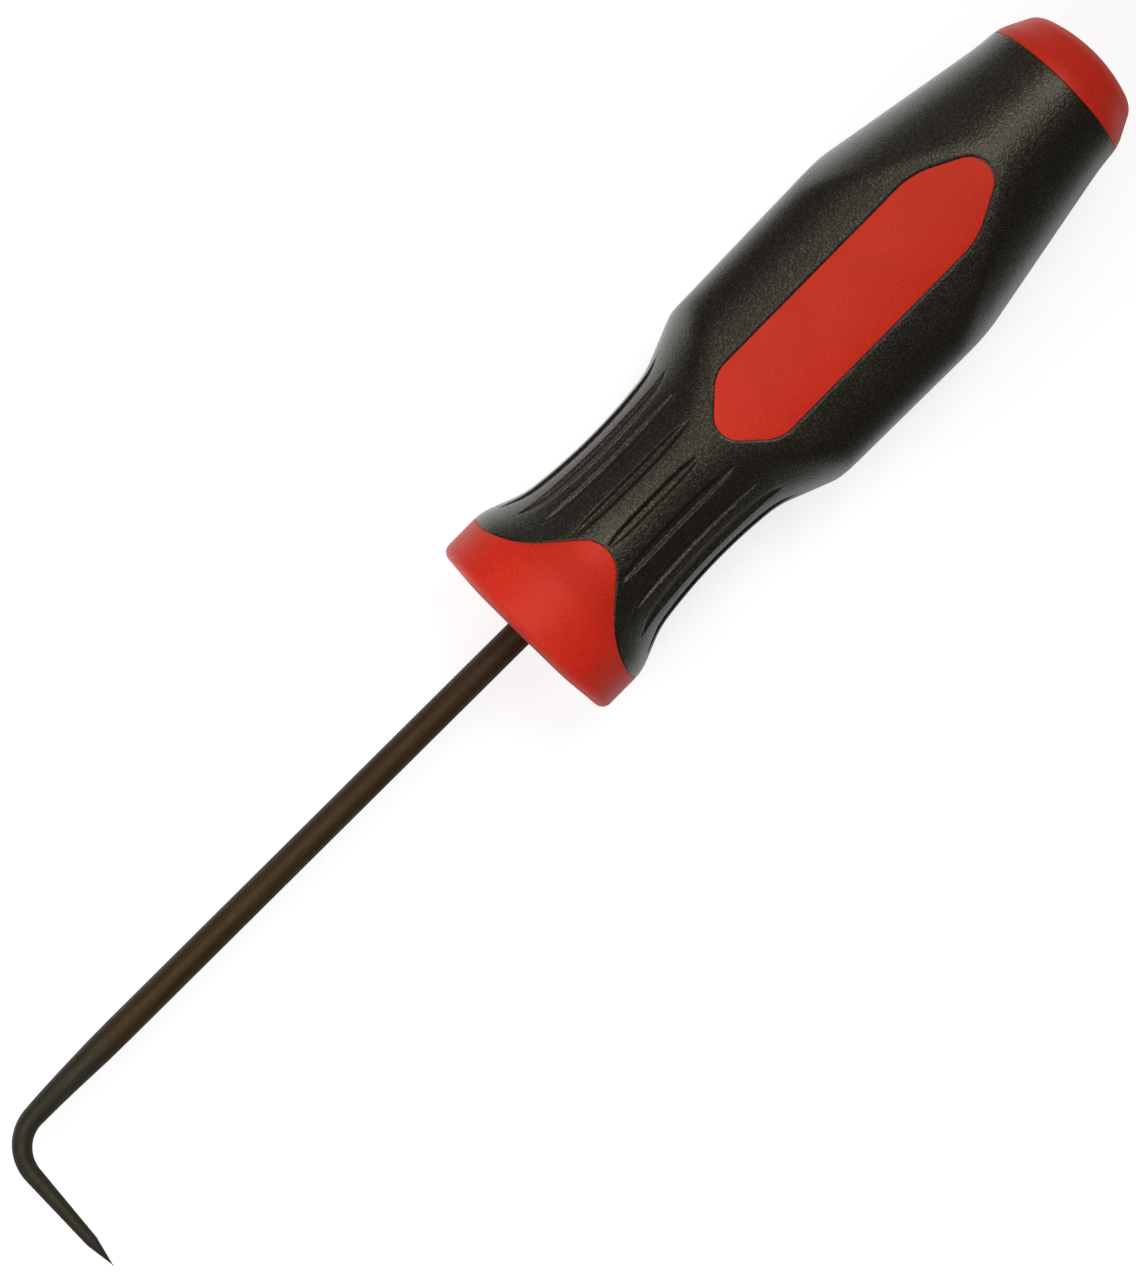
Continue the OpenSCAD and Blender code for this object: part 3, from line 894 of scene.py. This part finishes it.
def grip_material():
    """Warm black rubber, whose grain glints at its tops."""
    m, tree, shader, where = material("black_rubber")
    shader.inputs["Specular Tint"].default_value = GRIP_TINT
    grain = noise(tree, where, GRIP_GRAIN, detail=2.0, roughness=0.6)
    cloud = noise(tree, where, GRIP_CLOUD, detail=4.0)
    swell = noise(tree, where, GRIP_SWELL, detail=2.0)
    colour = shaded(tree, mixed(tree, grain, cloud, GRIP_CLOUD_SHARE), GRIP_COLOURS)
    specular = arithmetic(tree, "MAXIMUM", spread(tree, grain, GRIP_SPECULAR), GRIP_SPECULAR_FLOOR)
    tree.links.new(colour, shader.inputs["Base Color"])
    tree.links.new(spread(tree, grain, GRIP_ROUGHNESS), shader.inputs["Roughness"])
    tree.links.new(specular, shader.inputs["Specular IOR Level"])
    bump(tree, shader, [(swell, *GRIP_SWELL_BUMP), (grain, *GRIP_GRAIN_BUMP)])
    return m


def red_material():
    """Satin red plastic with a fine grain."""
    m, tree, shader, where = material("red_plastic")
    shader.inputs["Specular Tint"].default_value = RED_TINT
    grain = noise(tree, where, RED_GRAIN, detail=2.0, roughness=0.6)
    cloud = noise(tree, where, RED_CLOUD)
    swell = noise(tree, where, RED_SWELL, detail=2.0)
    colour = shaded(tree, mixed(tree, grain, cloud, RED_CLOUD_SHARE), RED_COLOURS)
    tree.links.new(colour, shader.inputs["Base Color"])
    tree.links.new(spread(tree, grain, RED_ROUGHNESS), shader.inputs["Roughness"])
    bump(tree, shader, [(swell, *RED_SWELL_BUMP), (grain, *RED_GRAIN_BUMP)])
    return m


def wire_material():
    """Blackened steel: brown along the straight wire, and greyer where it was bent and ground."""
    m, tree, shader, where = material("blackened_steel")
    shader.inputs["Metallic"].default_value = WIRE_METALLIC
    shader.inputs["Specular Tint"].default_value = WIRE_TINT
    squeeze = tree.nodes.new("ShaderNodeMapping")
    squeeze.inputs["Scale"].default_value = WIRE_STREAK_SQUEEZE
    tree.links.new(where, squeeze.inputs["Vector"])
    streak = noise(tree, squeeze.outputs["Vector"], WIRE_STREAK, detail=4.0)
    along = tree.nodes.new("ShaderNodeSeparateXYZ")
    tree.links.new(where, along.inputs[0])
    ground = mapped(tree, along.outputs["X"], GROUND_FROM, GROUND_TO)
    colour = blended(tree, ground, shaded(tree, streak, WIRE_BROWN), shaded(tree, streak, WIRE_GREY))
    tree.links.new(colour, shader.inputs["Base Color"])
    tree.links.new(spread(tree, noise(tree, where, WIRE_CLOUD), WIRE_ROUGHNESS), shader.inputs["Roughness"])
    pits = noise(tree, where, WIRE_PITS, detail=2.0)
    bump(tree, shader, [(streak, *WIRE_STREAK_BUMP), (pits, *WIRE_PITS_BUMP)])
    return m


# The handle's two mouldings

WIRE_FRAME = (
    Matrix.Translation((-WIRE_LEAN_AT, 0, 0))
    @ Matrix.Rotation(-WIRE_LEAN, 4, "Z")
    @ Matrix.Translation((WIRE_LEAN_AT, 0, 0))
)


def in_wire(p):
    """A place in the wire's own frame, which leans a little in the handle; in millimetres both times."""
    return WIRE_FRAME @ Vector(p)


def bore():
    """The chamfered hole that the wire sits in, from the collar's face to its closed end."""
    sides = 4 * MOUTH_SIDES
    turn = [2 * math.pi * k / sides for k in range(sides)]
    mouth = WIRE_R + MOUTH_CHAMFER
    verts = [(0, mouth * math.sin(a), mouth * math.cos(a)) for a in turn]
    for x in (-MOUTH_CHAMFER, -WIRE_HOLD_L):
        verts += [in_wire((x, WIRE_R * math.sin(a), WIRE_R * math.cos(a))) for a in turn]
    faces = []
    for ring in (0, sides):
        for k in range(sides):
            j = (k + 1) % sides
            faces.append((ring + k, ring + j, ring + sides + j, ring + sides + k))
    faces.append(tuple(range(2 * sides, 3 * sides)))
    return [tuple(Vector(v) * MM) for v in verts], faces


def moulding(fine, outer_tris, outer, under, under_tris, place_of):
    """One moulding's quarter: its outer faces, the surface under the grip, and walls that join the two."""
    places, faces = [outer, under], [*outer_tris, *(under_tris + len(outer))]
    start = len(outer) + len(under)
    for edge in border_edges(fine, outer_tris):
        keys = [key_of(fine[i]) for i in edge]
        if all(k in place_of for k in keys):
            low = [under[place_of[k]] for k in keys]
            places.append(np.array([outer[edge[1]], outer[edge[0]], *low]))
            faces.append(np.arange(start, start + 4))
            start += 4
    return np.vstack(places), faces


def key_of(p):
    """What a border's point is found by, in the fine mesh and in the coarse one."""
    return round(p[0], 3), round(p[1], 4)


def handle_meshes():
    """The core and the grip, which share the surface under the grip and the borders."""
    fine, tris, black = triangulated(FINE, True)
    hidden, hidden_tris, hidden_black = triangulated(COARSE, False)
    under = placed(hidden[:, 0], hidden[:, 1], SLEEVE_T)
    place_of = {key_of(p): k for k, p in enumerate(hidden)}
    outer = placed(fine[:, 0], fine[:, 1], red_drop(fine[:, 0], fine[:, 1]))
    core = mirrored(*moulding(fine, tris[~black], outer, under, hidden_tris[hidden_black], place_of))
    hole_verts, hole_faces = bore()
    core_faces = core[1] + [tuple(len(core[0]) + i for i in f) for f in hole_faces]
    outer = placed(fine[:, 0], fine[:, 1], black_drop(fine[:, 0], fine[:, 1]))
    grip = mirrored(*moulding(fine, tris[black], outer, under, hidden_tris[hidden_black], place_of))
    return (
        welded("handle_core_moulding", core[0] + hole_verts, core_faces, HANDLE_SHARP),
        welded("grip_sleeve_rubber", *grip, HANDLE_SHARP),
    )


# The wire

def centre_line(end, bend_start, bend_l):
    """Distances, places and headings along the wire, which bows a little before its bend."""
    s = np.arange(0, end + LINE_STEP, LINE_STEP)
    bow = BOW * smooth((s - BOW_START) / (bend_start - BOW_START))
    turn = np.maximum(bow, BEND_TURN * np.clip((s - bend_start) / bend_l, 0, 1))
    x = np.concatenate([[0], np.cumsum(np.cos(turn[:-1]) * LINE_STEP)])
    y = np.concatenate([[0], np.cumsum(np.sin(turn[:-1]) * LINE_STEP)])
    return s, x, y, turn


def wire_mesh():
    """The wire as rings round its centre line, from its hidden end with the wings to the point."""
    tangent = BEND_R * math.tan(BEND_TURN / 2)
    bend_start = CORNER_AT - tangent
    bend_l = BEND_R * BEND_TURN
    taper_l = bend_start - TAPER_START + bend_l + LEG_L - tangent - POINT_L
    end = TAPER_START + taper_l + POINT_L
    line = centre_line(end, bend_start, bend_l)
    wing_start = -WIRE_HOLD_L + WING_GAP
    wing_end = wing_start + WING_L
    bend_end = bend_start + bend_l
    point_start = end - POINT_L
    stations = [
        -WIRE_HOLD_L, wing_start, wing_start, wing_end, wing_end,
        *np.arange(WIRE_STEPS_FROM, BOW_START, WIRE_STEP),
        *np.linspace(BOW_START, bend_end, BEND_STATIONS),
        *np.linspace(bend_end, point_start, LEG_STATIONS)[1:],
        *(end - POINT_L * (1 - np.linspace(0, 1, POINT_STATIONS)[1:] ** POINT_GATHER)),
    ]
    # at each end of the wings stand two stations, and these two have the wings' section
    winged = (2, 3)
    f = np.arange(WIRE_SIDES) * 2 * math.pi / WIRE_SIDES
    verts, faces = [], []
    for k, s in enumerate(stations):
        x, y, turn = (np.interp(s, line[0], v) for v in line[1:])
        x += min(s, 0)
        if s > point_start:
            r = max(TIP_R, POINT_R * (end - s) / POINT_L)
        else:
            r = WIRE_R + (POINT_R - WIRE_R) * max(0, (s - TAPER_START) / taper_l)
        radii = np.full(WIRE_SIDES, r)
        if k in winged:
            wide = WING_W / 2 / np.maximum(np.abs(np.cos(f)), 1e-6)
            thick = WING_T / 2 / np.maximum(np.abs(np.sin(f)), 1e-6)
            radii = np.maximum(radii, np.minimum(wide, thick))
        aside = radii * np.cos(f)
        ring = np.stack([x - aside * math.sin(turn), y + aside * math.cos(turn), radii * np.sin(f)], axis=1)
        verts += [tuple(in_wire(p) * MM) for p in ring]
    for k in range(len(stations) - 1):
        for i in range(WIRE_SIDES):
            j = (i + 1) % WIRE_SIDES
            low, high = k * WIRE_SIDES, (k + 1) * WIRE_SIDES
            faces.append((low + i, high + i, high + j, low + j))
    faces.append(tuple(range(WIRE_SIDES)))
    faces.append(tuple(range(len(verts) - 1, len(verts) - WIRE_SIDES - 1, -1)))
    return welded("pick_shaft_wire", verts, faces, WIRE_SHARP)


core, grip = handle_meshes()
as_piece(core, red_material(), "handle_core")
as_piece(grip, grip_material(), "grip_sleeve")
as_piece(wire_mesh(), wire_material(), "pick_shaft")


# Floor, light and camera

def floor():
    """A matt pale floor, which also glows by itself, differently for each kind of ray."""
    z = cad_box[0][2] - FLOOR_BELOW
    mesh = bpy.data.meshes.new("floor")
    square = [(-1, -1), (1, -1), (1, 1), (-1, 1)]
    mesh.from_pydata([(x * FLOOR_HALF, y * FLOOR_HALF, z) for x, y in square], [], [(0, 1, 2, 3)])
    obj = bpy.data.objects.new("floor", mesh)
    scene.collection.objects.link(obj)
    mesh.materials.append(floor_material())


def floor_material():
    """What shiny surfaces mirror of its glow changes across the pick: dimmer along the pick and on its +y
    side, painted shade for the pick's shadow on the floor.
    """
    m = bpy.data.materials.new("floor")
    m.use_nodes = True
    tree = m.node_tree
    shader = tree.nodes["Principled BSDF"]
    shader.inputs["Base Color"].default_value = FLOOR_COLOUR
    shader.inputs["Roughness"].default_value = FLOOR_ROUGHNESS
    shader.inputs["Specular IOR Level"].default_value = 0.0
    shader.inputs["Emission Color"].default_value = (1, 1, 1, 1)
    place = tree.nodes.new("ShaderNodeSeparateXYZ")
    tree.links.new(tree.nodes.new("ShaderNodeNewGeometry").outputs["Position"], place.inputs[0])
    across = mapped(tree, place.outputs["Y"], -MIRRORED_TO, MIRRORED_TO)
    # the ramp's dim strip along the pick and its lower +y side are painted shade: the pick's shadow on the
    # floor, as shiny surfaces mirror it
    stops = [((y / MIRRORED_TO + 1) / 2, (share, share, share)) for y, share in MIRRORED_GLOW_AND_PAINTED_SHADE]
    mirrored_glow_and_painted_shade = arithmetic(tree, "MULTIPLY", ramp(tree, across, stops), MIRRORED_GLOW)
    ray = tree.nodes.new("ShaderNodeLightPath").outputs
    shiny = arithmetic(tree, "ADD", ray["Is Glossy Ray"], ray["Is Transmission Ray"])
    seen = arithmetic(tree, "MULTIPLY", ray["Is Camera Ray"], FLOOR_GLOW)
    bounced = arithmetic(tree, "MULTIPLY", ray["Is Diffuse Ray"], FLOOR_BOUNCE)
    in_shiny = arithmetic(tree, "MULTIPLY", shiny, mirrored_glow_and_painted_shade)
    glow = arithmetic(tree, "ADD", arithmetic(tree, "ADD", seen, bounced), in_shiny)
    tree.links.new(glow, shader.inputs["Emission Strength"])
    return m


def lobe(tree, direction, toward, inner, outer, radiance):
    """A soft round patch of light in the sky: full inside one angle, gone outside the other, in degrees."""
    dot = tree.nodes.new("ShaderNodeVectorMath")
    dot.operation = "DOT_PRODUCT"
    dot.inputs[1].default_value = Vector(toward).normalized()
    tree.links.new(direction, dot.inputs[0])
    patch = tree.nodes.new("ShaderNodeMapRange")
    patch.interpolation_type = "SMOOTHSTEP"
    patch.inputs["From Min"].default_value = math.cos(math.radians(outer))
    patch.inputs["From Max"].default_value = math.cos(math.radians(inner))
    patch.inputs["To Max"].default_value = radiance
    tree.links.new(dot.outputs["Value"], patch.inputs["Value"])
    return patch.outputs["Result"]


def world():
    """A dim room with soft patches of light."""
    w = bpy.data.worlds.new("studio")
    w.use_nodes = True
    tree = w.node_tree
    direction = tree.nodes.new("ShaderNodeTexCoord").outputs["Generated"]
    total = ROOM
    for toward, inner, outer, radiance in SKY:
        total = arithmetic(tree, "ADD", lobe(tree, direction, toward, inner, outer, radiance), total)
    background = tree.nodes["Background"]
    tree.links.new(total, background.inputs["Strength"])
    background.inputs["Color"].default_value = (*WARM, 1)
    scene.world = w


def key_light():
    """A soft box nearer to the collar than to the cap, so that the cap is lit less."""
    light = bpy.data.lights.new("key", "AREA")
    light.shape = "SQUARE"
    light.size = KEY_SIZE
    light.energy = KEY_RADIANCE * math.pi * KEY_SIZE ** 2
    light.color = WARM
    obj = bpy.data.objects.new("key", light)
    obj.location = KEY_AT
    obj.rotation_euler = (Vector(KEY_TARGET) - Vector(KEY_AT)).to_track_quat("-Z", "Y").to_euler()
    scene.collection.objects.link(obj)


def camera():
    """Looks straight down at the photograph's angle and scale, swung by the handle's roll."""
    offset = np.array([IMAGE_W / 2, IMAGE_H / 2]) - FACE_IN_IMAGE
    back = float(offset @ AXIS_IN_IMAGE) * MM_PER_PIXEL
    aside = float(offset @ np.array([-AXIS_IN_IMAGE[1], AXIS_IN_IMAGE[0]])) * MM_PER_PIXEL
    right = Vector((-AXIS_IN_IMAGE[0], -AXIS_IN_IMAGE[1], 0)).normalized()
    up = Vector((AXIS_IN_IMAGE[1], -AXIS_IN_IMAGE[0], 0)).normalized()
    data = bpy.data.cameras.new("camera")
    data.sensor_fit = "VERTICAL"
    data.sensor_height = SENSOR_H
    data.lens = SENSOR_H * CAMERA_HEIGHT / (IMAGE_H * MM_PER_PIXEL)
    data.clip_end = CLIP_END
    cam = bpy.data.objects.new("camera", data)
    turn = Matrix((right, up, Vector((0, 0, 1)))).transposed()
    above = Matrix.Translation(Vector((-back, aside, CAMERA_HEIGHT)) * MM) @ turn.to_4x4()
    cam.matrix_world = Matrix.Rotation(ROLL, 4, "X") @ above
    scene.collection.objects.link(cam)
    scene.camera = cam


floor()
world()
key_light()
camera()
scene.view_settings.view_transform = "Standard"
